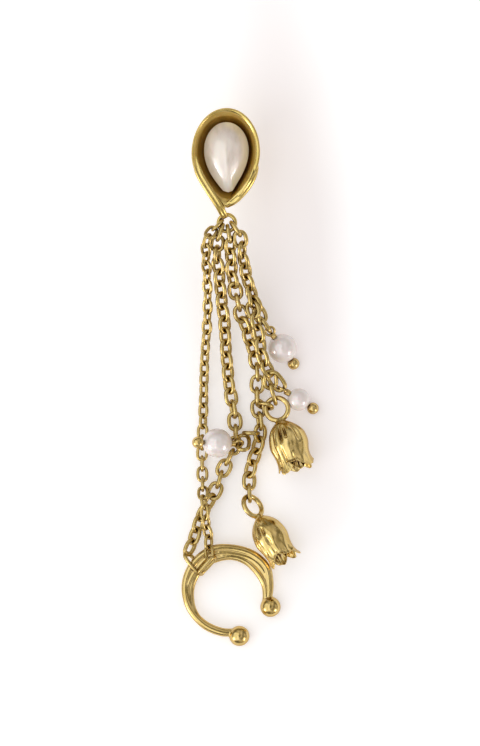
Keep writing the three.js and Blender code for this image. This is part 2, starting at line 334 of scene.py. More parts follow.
def makeGold(name, look):
    finish, nodes, links, surface, place = newFinish(name)
    # lighter and deeper gold in patches, and darker down in the hollows: partly patina, partly painted shade
    patches = noiseAt(nodes, links, place, look["patches"], 4.0)
    tint = ramp(nodes, links, patches, [(0.35, look["deep"]), (0.62, look["light"])])
    # painted shade with patina: ambient occlusion darkens the colour in hollows and where parts meet
    hollow = nodes.new("ShaderNodeAmbientOcclusion")
    hollow.inputs["Distance"].default_value = look["creviceShadeAndPatinaReach"]
    shade = ramp(nodes, links, hollow.outputs["AO"], [(0.25, look["creviceShadeAndPatina"]), (0.8, (1, 1, 1))])
    darken = nodes.new("ShaderNodeMix")
    darken.data_type = "RGBA"
    darken.blend_type = "MULTIPLY"
    darken.inputs["Factor"].default_value = 1.0
    links.new(tint, darken.inputs["A"])
    links.new(shade, darken.inputs["B"])
    links.new(darken.outputs["Result"], surface.inputs["Base Color"])
    surface.inputs["Specular Tint"].default_value = (*look["edge"], 1)
    # polish that has worn in patches, under a clear shine
    wear = noiseAt(nodes, links, place, look["wear"], 5.0, 0.6)
    polish = remap(nodes, links, wear, (0.35, 0.7), (look["smooth"], look["worn"]))
    links.new(polish, surface.inputs["Roughness"])
    surface.inputs["Metallic"].default_value = 1.0
    surface.inputs["Coat Weight"].default_value = look["sheen"]
    surface.inputs["Coat Roughness"].default_value = look["sheenSpread"]
    surface.inputs["Coat IOR"].default_value = look["sheenIor"]
    # soft dents, with fine scratches over them
    ripple = noiseAt(nodes, links, place, look["ripple"], 2.0)
    dents = bumpUp(nodes, links, ripple, 1.0, look["rippleDepth"])
    fine = noiseAt(nodes, links, place, look["scratch"], 2.0, 0.6, look["scratchPull"])
    links.new(bumpUp(nodes, links, fine, 0.6, look["scratchDepth"], dents), surface.inputs["Normal"])
    return finish


def setLustre(surface, look):
    # a soft body that light goes into, under a clear coat
    settings = {
        "Roughness": "roughness", "IOR": "ior",
        "Coat Weight": "coat", "Coat IOR": "coatIor", "Coat Roughness": "coatRoughness",
        "Subsurface Weight": "glow", "Subsurface Scale": "glowReach",
    }
    for name, key in settings.items():
        surface.inputs[name].default_value = look[key]


pearlLook = {
    "white": (0.86, 0.785, 0.73),
    "blush": (0.83, 0.73, 0.68),
    "roughness": 0.35,
    "ior": 1.8,
    "coat": 0.6,
    "coatIor": 2.7,
    "coatRoughness": 0.12,
    "clouds": 0.35,  # patches of blush to a millimetre
    "glow": 0.15,  # how much light goes in and comes out again
    "glowReach": 0.6 * mm,
    "skinGrain": 3.0,
    "skinDepth": 0.004 * mm,
}


def makePearlFinish():
    finish, nodes, links, surface, place = newFinish("pearlSkin")
    look = pearlLook
    clouds = noiseAt(nodes, links, place, look["clouds"], 2.0)
    tint = ramp(nodes, links, clouds, [(0.35, look["blush"]), (0.6, look["white"])])
    links.new(tint, surface.inputs["Base Color"])
    setLustre(surface, look)
    skinBumps = noiseAt(nodes, links, place, look["skinGrain"], 3.0)
    links.new(bumpUp(nodes, links, skinBumps, 0.5, look["skinDepth"]), surface.inputs["Normal"])
    return finish


shellLook = {
    "white": (0.90, 0.81, 0.69),
    "grey": (0.70, 0.61, 0.50),
    "rose": (0.84, 0.73, 0.64),
    "roughness": 0.3,
    "ior": 1.7,
    "coat": 0.9,
    "coatIor": 1.8,
    "coatRoughness": 0.08,
    "streaks": 0.32,  # streaks to a millimetre, before they are drawn out by the pull
    "streakPull": (1.6, 0.55, 1.0),
    "glow": 0.12,
    "glowReach": 1.0 * mm,
    "waves": 0.5,
    "wavePull": (1.0, 0.5, 1.0),
    "waveDepth": 0.06 * mm,
}


def makeShellFinish():
    finish, nodes, links, surface, place = newFinish("motherOfPearl")
    look = shellLook
    streaks = noiseAt(nodes, links, place, look["streaks"], 4.0, 0.55, look["streakPull"])
    tint = ramp(nodes, links, streaks, [(0.32, look["grey"]), (0.45, look["rose"]), (0.58, look["white"])])
    links.new(tint, surface.inputs["Base Color"])
    setLustre(surface, look)
    waves = noiseAt(nodes, links, place, look["waves"], 1.0, 0.5, look["wavePull"])
    links.new(bumpUp(nodes, links, waves, 1.0, look["waveDepth"]), surface.inputs["Normal"])
    return finish


gold = makeGold("polishedGold", castGold)
cupGold = makeGold("studGold", studGold)
blossomGold = makeGold("blossomGold", petalGold)
linkGold = makeGold("chainGold", chainGold)
pearlSkin = makePearlFinish()
shellSkin = makeShellFinish()
print("finishes ready")

studio = {
    "viewCentre": (-1.5 * mm, 0.7 * mm, 4 * mm),
    "viewHeight": 115.6 * mm,
    "cameraDistance": 1.6,  # metres, as the floor's size is
    "floorSize": 8.0,
    "floorColor": (0.85, 0.83, 0.82),
    "floorPaintedShadow": (0.755, 0.712, 0.702),  # a painted shadow of the piece, soft and long, on the paper beside it
    "floorGlow": 0.36,
    # the paper's glow, and its glow under the painted shadow
    "glowColor": (1.0, 0.99, 0.985),
    "glowPaintedShadow": (0.845, 0.812, 0.80),
    # where the painted shadow lies, how far it reaches and how it leans
    "shadeCentre": (7.2, 20.5),  # millimetres, as its reach is
    "shadeReach": (9.5, 56.0),
    "shadeLean": 6.0,
    "shadeFull": 0.6,  # how far in from its edge the shade is at its deepest
    "sky": [  # from the level of the floor to straight overhead
        (0.0, (0.20, 0.19, 0.18)), (0.3, (0.32, 0.31, 0.30)), (0.6, (0.55, 0.53, 0.525)),
        (0.965, (0.55, 0.53, 0.525)), (0.985, (0.12, 0.11, 0.11)),
    ],
    "skyLean": 0.35,  # how much brighter the surroundings are on the right than on the left
    "panels": 2.2,  # how small the bright and dark patches of the room are
    "panelEdge": (0.38, 0.62),
    "panelDepth": 0.6,
    "lampHeight": 1.3,  # how much taller than wide each light is
}
# places and sizes in metres, power in watts
lights = {
    "windowLight": {"place": (-0.93, -0.18, 1.17), "power": 14.0, "size": 2.0, "color": (0.94, 1.0, 1.06)},
    "keyLight": {"place": (-0.83, -0.50, 0.25), "power": 1.3, "size": 0.44, "color": (1.0, 0.93, 0.90)},
    "fillLight": {"place": (0.78, -0.56, 0.30), "power": 1.05, "size": 0.40, "color": (1.0, 0.92, 0.90)},
    "keySpark": {"place": (-0.80, -0.48, 0.24), "power": 1.0, "size": 0.2, "color": (1.0, 0.92, 0.90)},
    "fillSpark": {"place": (0.76, -0.545, 0.29), "power": 0.9, "size": 0.19, "color": (1.0, 0.91, 0.89)},
}


def makeCamera():
    # straight above, and just near enough for the view's height
    data = bpy.data.cameras.new("camera")
    data.sensor_width = 36.0
    data.lens = data.sensor_width * studio["cameraDistance"] / studio["viewHeight"]
    data.clip_start = 0.01
    camera = bpy.data.objects.new("camera", data)
    camera.location = Vector(studio["viewCentre"]) + Vector((0, 0, studio["cameraDistance"]))
    bpy.context.scene.collection.objects.link(camera)
    bpy.context.scene.camera = camera


def softLight(name, light):
    # a soft panel turned towards the piece
    data = bpy.data.lights.new(name, "AREA")
    data.energy = light["power"]
    data.shape = "RECTANGLE"
    data.size = light["size"]
    data.size_y = light["size"] * studio["lampHeight"]
    data.color = light["color"]
    lamp = bpy.data.objects.new(name, data)
    lamp.location = light["place"]
    lamp.rotation_euler = (-Vector(light["place"])).to_track_quat("-Z", "Z").to_euler()
    bpy.context.scene.collection.objects.link(lamp)


def makeSky():
    # soft light from all round, darker overhead
    world = bpy.data.worlds.new("studio")
    bpy.context.scene.world = world
    world.use_nodes = True
    nodes, links = world.node_tree.nodes, world.node_tree.links
    nodes.clear()
    place = nodes.new("ShaderNodeTexCoord")
    parts = nodes.new("ShaderNodeSeparateXYZ")
    links.new(place.outputs["Generated"], parts.inputs["Vector"])
    light = nodes.new("ShaderNodeBackground")
    lean, depth = studio["skyLean"], studio["panelDepth"]
    sideways = remap(nodes, links, parts.outputs["X"], (-1, 1), (1 - lean, 1 + lean))
    panels = noiseAt(nodes, links, place.outputs["Generated"], studio["panels"], 1.0)
    patchy = remap(nodes, links, panels, studio["panelEdge"], (1 - depth, 1 + depth))
    both = nodes.new("ShaderNodeMath")
    both.operation = "MULTIPLY"
    links.new(sideways, both.inputs[0])
    links.new(patchy, both.inputs[1])
    links.new(both.outputs["Value"], light.inputs["Strength"])
    links.new(ramp(nodes, links, parts.outputs["Z"], studio["sky"]), light.inputs["Color"])
    out = nodes.new("ShaderNodeOutputWorld")
    links.new(light.outputs["Background"], out.inputs["Surface"])


def makeFloor():
    # a white paper with a soft, long painted shadow of the piece on it, in its colour and its glow
    half = studio["floorSize"] / 2
    corners = [(-half, -half, 0), (half, -half, 0), (half, half, 0), (-half, half, 0)]
    mesh = bpy.data.meshes.new("floor")
    mesh.from_pydata(corners, [], [(0, 1, 2, 3)])
    floor = bpy.data.objects.new("floor", mesh)
    bpy.context.scene.collection.objects.link(floor)
    finish, nodes, links, surface, place = newFinish("paperWhite")
    surface.inputs["Roughness"].default_value = 0.9
    # painted shadow: a soft oval beside the piece darkens the paper's colour and its glow
    spot = nodes.new("ShaderNodeMapping")
    spot.vector_type = "TEXTURE"
    spot.inputs["Location"].default_value = (*studio["shadeCentre"], 0)
    spot.inputs["Rotation"].default_value = (0, 0, math.radians(studio["shadeLean"]))
    spot.inputs["Scale"].default_value = (*studio["shadeReach"], 1)
    links.new(place, spot.inputs["Vector"])
    fade = nodes.new("ShaderNodeTexGradient")
    fade.gradient_type = "SPHERICAL"
    links.new(spot.outputs["Vector"], fade.inputs["Vector"])
    for start, end, name in (("floorColor", "floorPaintedShadow", "Base Color"),
                             ("glowColor", "glowPaintedShadow", "Emission Color")):
        stops = [(0.0, studio[start]), (studio["shadeFull"], studio[end])]
        links.new(ramp(nodes, links, fade.outputs["Fac"], stops), surface.inputs[name])
    surface.inputs["Emission Strength"].default_value = studio["floorGlow"]
    mesh.materials.append(finish)


makeCamera()
for name, light in lights.items():
    softLight(name, light)
makeSky()
makeFloor()
bpy.context.scene.view_settings.view_transform = "Standard"
print("camera, lights and floor ready")

# half is half the width, above and below are how far the pear reaches from its middle, lean and swing
# move its upper part and its tip aside, and a lower tip is a rounder one
studShape = {
    "x": -3.7, "y": 34.7, "half": 5.28, "above": 6.9, "below": 8.5, "lean": 0.02, "swing": 0.0, "tip": 0.75,
    "sides": 140,
    "back": 7.8,  # height of the flat back, with the post under it
    "lip": 11.2,
    "seat": 8.5,  # height of the dish's floor
    "steep": 0.25, "steepAt": 160,  # the dish drops sooner at the upper left
    "dip": 1.0, "dipWidth": 0.05,  # how far the lip sinks at the tip, where the limbs cross
    "post": 0.45, "postUp": 0.4,  # radius of the post, and how far above the middle it stands
    "fuse": 0.08, "soften": 8,
}
stoneShape = {
    "x": -3.6, "y": 35.1, "half": 3.45, "above": 4.35, "below": 6.5, "lean": 0.0, "swing": 0.28, "tip": 0.45,
    "sides": 120,
    "steps": 30,
    "seat": 8.45,
    "girdle": 1.05,
    "height": 3.25,
    "fullness": 2.0,  # higher is flatter on top
}


def pearPoint(outline, angle, share):
    # a point on a pear's outline, or nearer the middle; the outline comes to its tip below
    rise, side = math.sin(angle), math.cos(angle)
    if rise >= 0:
        height = outline["above"] * rise
        spot = Vector((outline["half"] * side + outline["lean"] * height, height, 0))
    else:
        depth = -outline["below"] * math.asin(-rise) / (math.pi / 2)
        down = -depth / outline["below"]
        width = outline["half"] * abs(side) ** mix(0.75, outline["tip"], down ** 10) * math.copysign(1, side)
        swing = outline["swing"] * down ** 4
        spot = Vector((width + outline["lean"] * depth + swing, depth, 0))
    return Vector((outline["x"], outline["y"], 0)) + spot * share


def makeStone():
    # rows of (share of the outline, height): the flat foot, the girdle and the dome
    seat, girdle, sides, steps = (stoneShape[key] for key in ("seat", "girdle", "sides", "steps"))
    rise = stoneShape["height"] - girdle
    rows = [(tiny, seat), (0.93, seat), (0.985, seat + 0.06), (1.0, seat + 0.2), (1.0, seat + girdle * 0.8)]
    for i in range(steps + 1):
        share = math.cos(math.pi / 2 * i / steps)
        rows.append((max(tiny, share * 0.995), seat + girdle + rise * (1 - share ** stoneShape["fullness"])))
    rings = [[pearPoint(stoneShape, math.tau * j / sides, share) + Vector((0, 0, height))
              for j in range(sides)] for share, height in rows]
    makePiece("shellStone", [flipped(skin(rings))], shellSkin, "mother_of_pearl")


def studCup():
    # rows of (share of the outline, how far over towards the stone's outline, height): the back and
    # the wall up to the lip, the rolled lip and down into the dish, and the floor under the stone
    lip, back, seat, sides = (studShape[key] for key in ("lip", "back", "seat", "sides"))
    rows = [
        (tiny, 0, back), (0.42, 0, back), (0.64, 0, back + 0.04), (0.8, 0, back + 0.16),
        (0.89, 0, back + 0.45), (0.95, 0, back + 1.05), (0.98, 0, back + 1.8), (1.0, 0, lip - 0.8),
        (1.003, 0, lip - 0.4), (0.995, 0, lip - 0.14), (0.978, 0, lip - 0.02), (0.96, 0, lip - 0.03),
        (0.96, 0.1, lip - 0.14), (0.96, 0.22, lip - 0.34), (0.96, 0.34, lip - 0.66), (0.96, 0.48, lip - 1.1),
        (0.96, 0.62, lip - 1.6), (0.96, 0.75, lip - 2.05), (0.96, 0.87, seat + 0.42),
        (0.96, 0.95, seat + 0.25), (0.96, 1.1, seat + 0.25), (tiny, 1, seat),
    ]
    rings = []
    for share, over, height in rows:
        ring = []
        for j in range(sides):
            angle = math.tau * j / sides
            bend = 1 + studShape["steep"] * math.cos(angle - math.radians(studShape["steepAt"]))
            outer = pearPoint(studShape, angle, share)
            inner = pearPoint(stoneShape, angle, share if share < 0.9 else 1.0)  # at the stone's edge
            sink = studShape["dip"] * clamp((height - seat) / (lip - seat))
            sink *= bell(1 + math.sin(angle), studShape["dipWidth"])
            ring.append(outer.lerp(inner, over ** bend) + Vector((0, 0, height - sink)))
        rings.append(ring)
    return flipped(skin(rings))


# the two ends that run on from the lip and cross below the dish, in rows of (x, y, drop below the lip)
limbs = {
    "left": [
        (-8.62, 34.4, 0.45), (-8.3, 32.95, 0.42), (-7.75, 31.4, 0.35), (-6.65, 29.45, 0.35),
        (-5.5, 27.7, 0.45), (-4.65, 26.35, 0.85), (-4.1, 25.3, 1.5), (-3.75, 24.7, 2.1),
    ],
    "right": [
        (1.05, 34.4, 0.7), (1.0, 33.0, 0.65), (0.79, 31.63, 0.6), (0.27, 30.3, 0.65),
        (-0.8, 28.75, 0.85), (-2.4, 27.2, 1.3), (-3.65, 26.5, 1.9),
    ],
    "crest": [
        (0.95, 33.6, 0.35), (0.62, 32.3, 0.22), (0.0, 30.75, 0.2), (-1.35, 28.9, 0.4),
        (-2.5, 27.75, 0.75), (-3.4, 27.0, 1.2),
    ],
    "leftWire": 0.36,  # two of them side by side make the left end's twin ridge
    "apart": 0.3, "outerDrop": 0.04,
    "rightWire": 0.52,
    "crestWire": 0.2,  # the sharp ridge along the right end
    "growth": [(0, 0.05), (0.25, 0.9), (0.8, 1.0), (1, 0.75)],  # how a wire swells along its way
}
bail = {"x": -3.53, "y": 23.87, "z": 8.7, "radius": 1.3, "wire": 0.32}


def beside(path, distance, lift=0.0):
    # the same path moved to its right and up
    moved = []
    for before, place, after in zip([path[0]] + path[:-1], path, path[1:] + [path[-1]]):
        ahead = (after - before).normalized()
        moved.append(place + ahead.cross(Vector((0, 0, 1))) * distance + Vector((0, 0, lift)))
    return moved


def limbPath(name):
    return smoothPath([(x, y, studShape["lip"] - drop) for x, y, drop in limbs[name]], 12)


def limb(path, wire, sides=14):
    return sweep(path, lambda t: wire * readOff(limbs["growth"], t), sides)


def studPost():
    # from the tip it stands on, a little rounded, up into the back
    post, top = studShape["post"], studShape["back"] + 0.3
    rows = [(tiny, 0), (post - 0.05, 0), (post, 0.06), (post, top), (tiny, top)]
    place = (studShape["x"], studShape["y"] + studShape["postUp"], 0)
    return placed(turned(rows, 24), Matrix.Translation(place))


def makeStud():
    left = limbPath("left")
    shapes = [
        studCup(),
        studPost(),
        limb(beside(left, limbs["apart"], -limbs["outerDrop"]), limbs["leftWire"]),
        limb(beside(left, -limbs["apart"]), limbs["leftWire"]),
        limb(limbPath("right"), limbs["rightWire"]),
        limb(limbPath("crest"), limbs["crestWire"], 12),
        placed(torus(bail["radius"], bail["wire"]), Matrix.Translation((bail["x"], bail["y"], bail["z"]))),
    ]
    makePiece("studFrame", shapes, cupGold, "stud_frame",
              fuse=studShape["fuse"], soften=studShape["soften"])


makeStone()
makeStud()
print("stud ready")

# wire is how thick it is, rest how high the middle of a lying link is, and bite how far two links dip
# into each other
thinLink = {"width": 1.92, "wire": 0.52, "rest": 1.0, "bite": 0.03}
heavyLink = {"width": 2.5, "wire": 0.66, "rest": 1.27, "bite": 0.03}
linkDetail = {
    "steps": 28,
    "sides": 10,
    "round": 0.75,  # lower gives straighter sides and tighter ends
    "sway": 5.0,  # each link's own play, in degrees
}
slope = {"start": 21.5, "touchdown": -8.0, "top": 8.7}  # from the bail ring down to the floor


def ovalLink(length, size):
    # two round ends, drawn apart to the length
    bend = (size["width"] - size["wire"]) / 2
    reach = (length - size["wire"]) / 2 - bend
    path = []
    for i in range(linkDetail["steps"]):
        angle = math.tau * (i + 0.5) / linkDetail["steps"]
        along = math.cos(angle) * bend
        pull = math.sin(math.pi / 2 * clamp(along / (linkDetail["round"] * bend), -1, 1))
        path.append(Vector((along + reach * pull, math.sin(angle) * bend, 0)))
    return sweep(path, size["wire"] / 2, linkDetail["sides"], closedRound=True)


def linkBetween(start, end, size, roll):
    # a link whose opening runs from one point to the other, rolled about that line from lying flat
    start, end = Vector(start), Vector(end)
    length = (end - start).length + size["wire"] * 2 - size["bite"]
    ahead = (end - start).normalized()
    across = Vector((0, 0, 1)).cross(ahead).normalized()
    basis = Matrix((ahead, across, ahead.cross(across))).transposed().to_4x4()
    turn = Matrix.Rotation(math.radians(roll + random.uniform(-1, 1) * linkDetail["sway"]), 4, "X")
    return placed(ovalLink(length, size), Matrix.Translation((start + end) / 2) @ basis @ turn)


def slopeHeight(y, rest):
    climb = clamp((y - slope["touchdown"]) / (slope["start"] - slope["touchdown"]))
    return rest + (slope["top"] - rest) * climb ** 2


def cableChain(route, size, count, lie):
    # links in even steps along a route, each a quarter turn from the last, on top of how the chain lies
    points = [(x, y, slopeHeight(y, size["rest"]) + sum(lift)) for x, y, *lift in route]
    joints = evenSteps(smoothPath(points), count)
    return [linkBetween(a, b, size, readOff(lie, i / (count - 1)) + (90 if i % 2 == 0 else 0))
            for i, (a, b) in enumerate(zip(joints, joints[1:]))]


def ties(rows, size):
    return [linkBetween(start, end, size, roll) for start, end, roll in rows]


# routes in rows of (x, y, lift above the common slope), and how each chain lies in rows of
# (share of its way, turn in degrees)
thinRoute = [
    (-4.36, 24.1), (-5.44, 23.05, 0.2), (-6.4, 21.9, 1.0), (-6.75, 20.5, 1.0), (-6.65, 16.6), (-6.5, 12.0),
    (-6.65, 7.3), (-6.95, 3.5), (-7.2, -5.5), (-7.4, -12.5), (-7.3, -16.2, 0.6), (-7.25, -18.2, 2.0),
    (-7.0, -19.7, 2.6), (-6.95, -21.5, 2.5), (-6.65, -23.3, 1.7), (-6.35, -24.6, 1.2), (-6.4, -26.2, 1.3),
    (-6.2, -27.9, 1.9),
]
thinLie = [(0, 0), (0.06, 36), (0.33, 36), (0.42, 45), (0.55, 45), (0.72, 0), (0.8, 0), (0.87, 42), (1, 42)]
leftRoute = [
    (-4.25, 23.35), (-4.9, 21.5, -0.1), (-5.1, 20.0, -0.3), (-4.7, 15.7), (-4.35, 11.9), (-3.85, 8.0),
    (-3.75, 5.2), (-3.5, 2.3), (-3.15, -1.5), (-2.45, -5.3), (-2.3, -7.0), (-2.1, -9.4),
    (-2.9, -12.0), (-4.3, -14.6), (-4.8, -16.3), (-5.6, -18.1), (-6.6, -19.9), (-7.8, -22.1),
    (-8.3, -23.9), (-8.8, -25.4), (-9.68, -27.16, 0.3),
]
leftLie = [(0, 0), (0.04, 0), (0.12, 45), (0.5, 45), (0.58, 90), (0.8, 90), (0.86, 132), (1, 132)]
middleRoute = [
    (-3.4, 23.15), (-3.05, 21.25), (-2.95, 19.6), (-2.8, 16.4), (-2.2, 13.3), (-1.5, 10.35),
    (-0.45, 7.3), (0.35, 4.7), (0.9, 2.7), (1.25, 0.4), (1.1, -3.1), (1.6, -6.9),
    (1.7, -8.9), (0.85, -12.0), (0.1, -14.1), (-0.1, -16.2, 0.2), (0.0, -18.9, 0.62),
]
middleLie = [
    (0, 0), (0.05, -45), (0.17, -45), (0.23, 0), (0.31, 0), (0.37, -45), (0.47, -45), (0.54, 0), (0.7, 0),
    (0.8, -42), (0.92, -42), (1, 0),
]
rightRoute = [
    (-2.72, 23.7), (-1.55, 22.0, 0.32), (-1.2, 19.8, 0.25), (-0.9, 17.6), (-0.05, 14.05), (0.5, 12.5),
    (1.5, 9.85), (2.1, 8.7, 0.25), (3.01, 7.4, 0.47),
]
rightLie = [(0, 0), (0.12, 0), (0.3, 45), (0.8, 45), (1, 90)]
branchRoute = [
    (-0.1, 13.2), (0.1, 11.8, 0.2), (0.7, 9.9, 1.4), (1.1, 8.3, 1.6), (1.5, 6.4, 1.8),
    (1.7, 4.6, 1.9), (1.9, 3.1, 2.0), (2.5, 1.7, 1.9), (3.2, 0.6, 1.7),
]
branchLie = [(0, 0), (0.3, 45), (1, 45)]

# single links that tie the strands together: the opening's two ends and the roll
leftTies = [((-1.0, -9.2, 1.35), (-1.0, -11.0, 2.9), 0), ((-0.6, -8.6, 1.3), (1.02, -8.65, 1.27), 90)]
middleTies = [((1.65, -4.4, 1.3), (3.08, -4.42, 2.45), 60)]
rightTies = [
    ((3.4, 0.4, 3.5), (4.93, -1.63, 2.8), 20), ((3.2, 0.7, 3.5), (3.25, -1.4, 2.9), 0),
    ((3.25, -1.35, 2.9), (3.95, -3.74, 1.9), 90),
]

makePiece("thinChain", cableChain(thinRoute, thinLink, 34, thinLie), linkGold, "thin_chain")
makePiece("leftChain", cableChain(leftRoute, heavyLink, 28, leftLie) + ties(leftTies, heavyLink),
          linkGold, "left_chain")
makePiece("middleChain", cableChain(middleRoute, heavyLink, 23, middleLie) + ties(middleTies, heavyLink),
          linkGold, "middle_chain")
makePiece("rightChain", cableChain(rightRoute, heavyLink, 10, rightLie)
          + cableChain(branchRoute, heavyLink, 7, branchLie) + ties(rightTies, heavyLink),
          linkGold, "right_chain")
print("chains ready")

bead = {"bore": 0.36, "steps": 40, "sides": 56}
# radii, apart from the gap and the counts
headPin = {
    "wire": 0.25,
    "ball": 0.93, "ballSteps": 24,
    "gap": 0.06,  # between the pearl and what holds it
    "wrap": 0.2, "coil": 0.3, "wraps": 3, "wrapSteps": 16,
    "eye": 0.7, "eyeWire": 0.2,
}
# heading and tilt are where the eye points to, and turn is how far it is turned about the pin
pearls = [
    {"number": 1, "radius": 2.25, "heading": 126, "tilt": 25, "turn": 0},
    {"number": 2, "radius": 1.75, "heading": 148, "tilt": 18, "turn": 90},
    {"number": 3, "radius": 2.28, "heading": -2, "tilt": -24, "turn": 50},
]


def pearlForm(radius):
    hole = math.asin(bead["bore"] / radius)
    angles = [mix(hole, math.pi - hole, i / bead["steps"]) for i in range(bead["steps"] + 1)]
    rows = [(radius * math.sin(a), -radius * math.cos(a)) for a in angles]
    return turned(rows, bead["sides"], closedRound=True)


def pinForm(radius):
    # the ball below the pearl and the wire up through it, to just above the wraps
    wire, ball, steps = headPin["wire"], headPin["ball"], headPin["ballSteps"]
    middle = -radius - headPin["gap"] - ball
    top = radius + headPin["gap"] + headPin["wrap"] * headPin["wraps"]
    rows = ballRows(ball, middle, steps, steps - 1)
    rows += [(wire, middle + ball - 0.02), (wire, top + 0.1), (tiny, top + 0.15)]
    return turned(rows, 28)


def wrapForm(radius):
    # the wire's end wound round the pin above the pearl, each turn half over the last
    around, turnSteps = headPin["coil"], headPin["wrapSteps"]
    rise = headPin["wrap"] * headPin["wraps"]
    steps = turnSteps * headPin["wraps"]
    foot = radius + headPin["gap"] + 0.05
    coil = [Vector((around * math.cos(math.tau * i / turnSteps), around * math.sin(math.tau * i / turnSteps),
                    foot + rise * i / steps)) for i in range(steps + 1)]
    return sweep(coil, headPin["wrap"], 10)


def eyeForm(radius, turn):
    top = radius + headPin["gap"] + headPin["wrap"] * headPin["wraps"]
    return placed(torus(headPin["eye"], headPin["eyeWire"], 12, 36),
                  Matrix.Translation((0, 0, top + headPin["eye"]))
                  @ Matrix.Rotation(math.radians(turn), 4, "Z") @ Matrix.Rotation(math.pi / 2, 4, "X"))


def makePearl(pearl):
    # each pearl hangs round the middle of its own place in the frame
    number, radius = pearl["number"], pearl["radius"]
    node = "pearl_%d" % number
    low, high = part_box(node)
    middle = (Vector(low) + Vector(high)) / (2 * mm)
    aim = pointing(middle, pearl["heading"], pearl["tilt"])
    makePiece("pearl%d" % number, [placed(pearlForm(radius), aim)], pearlSkin, node)
    shapes = (pinForm(radius), wrapForm(radius), eyeForm(radius, pearl["turn"]))
    pin = [placed(shape, aim) for shape in shapes]
    makePiece("headPin%d" % number, pin, gold, "head_pin_%d" % number)


for pearl in pearls:
    makePearl(pearl)
print("pearls ready")

tulipBody = {
    "length": 8.6,
    "profile": [  # rows of (height above the neck, radius)
        (0, 0.3), (0.3, 0.95), (1.0, 1.85), (1.9, 2.55), (2.9, 2.93),
        (4.2, 3.05), (5.6, 2.72), (6.8, 2.55), (7.8, 2.6), (8.7, 2.75),
    ],
    "neck": [(tiny, -0.45), (0.5, -0.4), (0.62, -0.1), (0.8, 0.3), (1.15, 0.7), (0.9, 1.0), (tiny, 1.1)],
    "wall": 0.3,
    "thinning": 0.25,  # how much thinner the wall is at the lip
    "hollow": 0.2,  # how far a petal's two edges turn in
    "tipFrom": 0.62,  # where a petal's tip begins, and its lip, as a share of its length
    "lipFrom": 0.9,
    "ruffles": 9,  # higher makes more waves along a petal's edge
    "across": 40, "down": 56,
    "fuse": 0.075, "soften": 5,
}
tulipRing = {"radius": 1.75, "wire": 0.4, "sides": 16, "steps": 56, "gap": 0.1}
tulips = [
    {
        "node": "tulip_1", "name": "tulip1",
        "top": (4.74, -6.65, 2.5), "heading": -74, "tilt": 8, "roll": 8,
        "sway": 0.3,  # how far the bell leans over its neck
        "plump": 1.0,
        # rows of (angle, from, to, depth, width in degrees), pressed into all the petals
        "folds": [
            (112, 0.7, 4.0, 0.85, 6), (93, 0.9, 3.3, 0.7, 5), (119, 4.0, 8.0, 0.28, 5),
            (146, 1.0, 6.5, 0.3, 6), (56, 0.5, 4.4, 0.4, 5),
        ],
        # rows of (middle and half width in degrees, length, how far out, how much shorter the sides
        # are, flare, curl of the lip, ruffle, width at the tip)
        "petals": [
            (42, 48, 0.95, 0.06, 0.12, 0.45, 0.1, 0.06, 0.78),
            (98, 24, 0.83, 0, 0.03, -0.05, 0.5, 0.04, 0.78),
            (129, 25, 1, -0.04, 0.12, -0.15, 0.1, 0.06, 1.35),
            (174, 32, 0.94, 0.02, 0.1, 0.1, 0.1, 0.04, 0.78),
            (74, 18, 0.99, -0.08, 0.1, 0.1, 0.2, 0.16, 1.35),
            (92, 24, 0.96, -1, 0.3, 0.4, 0.2, 0.12, 0.78),
            (218, 36, 0.96, -0.1, 0.15, 0, 0.1, 0.05, 0.78),
            (270, 44, 0.95, 0, 0.15, 0.05, 0.1, 0.05, 0.78),
            (325, 42, 0.97, -0.12, 0.15, 0.1, 0.1, 0.05, 0.78),
        ],
    },
    {
        "node": "tulip_2", "name": "tulip2",
        "top": (1.4, -21.55, 2.5), "heading": -59, "tilt": 8, "roll": -50,
        "sway": -0.15,
        "plump": 0.92,
        "folds": [
            (121, 0.6, 3.4, 0.7, 7), (102, 1.8, 3.6, 0.5, 5), (99, 3.3, 5.3, 0.35, 7),
            (139, 3.4, 6.5, 0.3, 5), (152, 1.0, 6.0, 0.2, 6), (75, 0.8, 2.4, 0.1, 8),
            (28, 1.5, 7.0, 0.15, 8),
        ],
        "petals": [
            (58, 46, 0.88, 0.06, 0.08, 0.1, 0.25, 0.08, 0.78),
            (14, 36, 0.98, 0, 0.1, 0.4, 0.1, 0.03, 0.78),
            (118, 28, 0.86, -0.08, 0.1, 0.1, 0.25, 0.08, 0.78),
            (152, 34, 0.98, -0.16, 0.14, 0, 0.1, 0.05, 0.78),
            (94, 36, 1.04, -0.26, 0.16, 0.2, 0.3, 0.2, 0.78),
            (200, 38, 0.96, -0.25, 0.15, 0, 0.1, 0.05, 0.78),
            (255, 44, 0.95, 0, 0.15, 0.05, 0.1, 0.05, 0.78),
            (315, 42, 0.97, -0.1, 0.15, 0.1, 0.1, 0.05, 0.78),
        ],
    },
]


